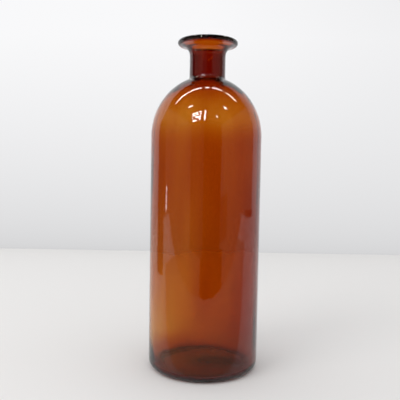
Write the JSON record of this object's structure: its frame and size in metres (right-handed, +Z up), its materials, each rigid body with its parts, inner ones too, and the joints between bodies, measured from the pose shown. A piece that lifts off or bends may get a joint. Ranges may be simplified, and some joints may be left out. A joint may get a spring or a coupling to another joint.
{
  "type": "reagent bottle",
  "caption": "Tall amber glass bottle with a domed shoulder, short straight neck and wide trumpet lip, blown in one piece and open at the mouth.",
  "frame": {"origin": "centre of the flat standing ring, on the bottle's axis", "axes": "+Z up along the bottle's axis, towards the mouth; X and Y are free, because the bottle is round"},
  "size_m": [0.101, 0.101, 0.3],
  "materials": {
    "amber_glass": "polished transparent amber glass, fire-polished at the lip, lightly wavy from blowing"
  },
  "bodies": {
    "root": {"glass_bottle": "amber_glass"}
  },
  "joints": []
}
